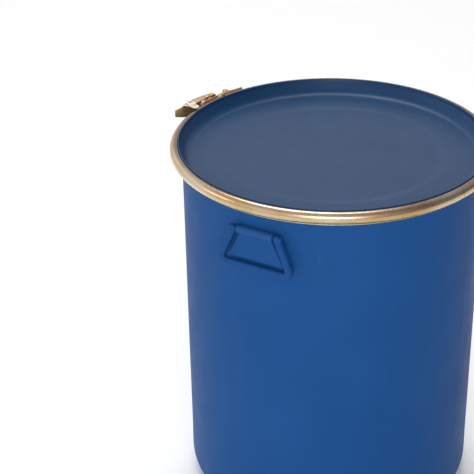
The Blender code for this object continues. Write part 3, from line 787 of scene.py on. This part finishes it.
def make_camera():
    camera = bpy.data.objects.new("camera", bpy.data.cameras.new("camera"))
    bpy.context.scene.collection.objects.link(camera)
    camera.data.lens = LENS
    camera.data.sensor_width = 36.0
    camera.data.clip_start = 0.05
    rise, turn = CAMERA_RISE, CAMERA_TURN
    away = Vector((math.sin(turn) * math.cos(rise), -math.cos(turn) * math.cos(rise), math.sin(rise)))
    target = Vector((0.0, 0.0, CAMERA_AIM_Z))
    forward = -away
    right = forward.cross(Vector((0, 0, 1))).normalized()
    up = right.cross(forward)
    swing = Matrix.Rotation(AIM_LEFT, 3, up)
    forward, right = swing @ forward, swing @ right
    dip = Matrix.Rotation(-AIM_DOWN, 3, right)
    forward, up = dip @ forward, dip @ up
    roll = Matrix.Rotation(-AIM_ROLL, 3, forward)
    right, up = roll @ right, roll @ up
    axes = Matrix((right, up, -forward)).transposed().to_4x4()
    camera.matrix_world = Matrix.Translation(target + away * CAMERA_REACH) @ axes
    bpy.context.scene.camera = camera


def make_floor():
    size, below = 6.0, -0.0005
    marks = np.linspace(-size, size, 9)
    points = [[(x, y, below) for y in marks] for x in marks]
    floor = new_object("floor", lattice("floor", points))
    look = Look("floor_white")
    tone = look.mix(look.noise(3.0, 3.0), (0.94, 0.94, 0.94), (0.96, 0.96, 0.96))
    floor.data.materials.append(look.set(Base_Color=tone, Roughness=0.55))


def area_light(name, place, aim, size, power, colour=(1.0, 1.0, 1.0)):
    data = bpy.data.lights.new(name, "AREA")
    data.shape = "RECTANGLE"
    data.size, data.size_y = size
    data.energy = power
    data.color = colour
    light = bpy.data.objects.new(name, data)
    bpy.context.scene.collection.objects.link(light)
    light.location = place
    direction = Vector(aim) - Vector(place)
    light.rotation_euler = direction.to_track_quat("-Z", "Y").to_euler()


def make_light():
    """A pale room, darker above and on the right, with a high lamp behind and two in front."""
    world = bpy.data.worlds.new("studio")
    bpy.context.scene.world = world
    world.use_nodes = True
    nodes, links = world.node_tree.nodes, world.node_tree.links
    where = nodes.new("ShaderNodeTexCoord")
    split = nodes.new("ShaderNodeSeparateXYZ")
    links.new(where.outputs["Generated"], split.inputs[0])
    ramp = nodes.new("ShaderNodeValToRGB")
    links.new(split.outputs[2], ramp.inputs[0])
    shades = ((0.0, 0.70), (0.42, 0.80), (0.70, 0.50), (1.0, 0.45))
    while len(ramp.color_ramp.elements) < len(shades):
        ramp.color_ramp.elements.new(0.5)
    for element, (at, shade_of_grey) in zip(ramp.color_ramp.elements, shades):
        element.position = at
        element.color = (shade_of_grey, shade_of_grey, shade_of_grey, 1.0)
    side = nodes.new("ShaderNodeVectorMath")
    side.operation = "DOT_PRODUCT"
    links.new(where.outputs["Generated"], side.inputs[0])
    side.inputs[1].default_value = (math.cos(CAMERA_TURN), math.sin(CAMERA_TURN), 0.0)
    dim = nodes.new("ShaderNodeMapRange")
    links.new(side.outputs["Value"], dim.inputs["Value"])
    for name, number in (("From Min", 0.1), ("From Max", 0.9), ("To Min", 1.2), ("To Max", 0.22)):
        dim.inputs[name].default_value = number
    sky = nodes["Background"]
    links.new(ramp.outputs[0], sky.inputs["Color"])
    links.new(dim.outputs[0], sky.inputs["Strength"])
    area_light("key", (-1.0, 1.2, 3.4), (0.0, 0.0, 0.25), (1.6, 1.6), 62.0)
    area_light("front", (1.1, -2.12, 1.38), (0.0, 0.0, 0.4), (1.2, 0.6), 24.0)
    area_light("fill", (-2.3, -1.7, 1.3), (0.0, 0.0, 0.25), (1.0, 1.0), 5.0)
    bpy.context.scene.view_settings.view_transform = "Standard"


def main():
    blue = moulded_plastic(
        "blue_body", (0.0075, 0.066, 0.229), (0.0095, 0.072, 0.246), 0.45, 0.55
    )
    blue_handle = moulded_plastic(
        "blue_handle", (0.0070, 0.060, 0.212), (0.0090, 0.067, 0.232), 0.40, 0.50
    )
    # The lid's blue is a darker copy of the body's blue: painted shade on the lid's upward faces.
    shaded_blue_lid = moulded_plastic(
        "shaded_blue_lid", (0.0070, 0.040, 0.112), (0.0090, 0.045, 0.121), 0.34, 0.44, shine=0.20
    )
    zinc = yellow_zinc("yellow_zinc")
    dull_zinc = yellow_zinc("dull_zinc", 0.22, 0.15)
    cream = moulded_plastic("cream_catch", (0.74, 0.68, 0.54), (0.80, 0.75, 0.62), 0.35, 0.5)
    rubber = seal_rubber("seal_rubber")
    make_camera()
    make_floor()
    make_light()
    make_body(blue)
    for side, centre in (("front", FRONT), ("back", BACK)):
        make_barrel(side, centre, blue)
        make_handle(side, centre, blue_handle)
    make_lid(shaded_blue_lid, rubber)
    make_ring(zinc)
    make_closure(dull_zinc, cream)


main()
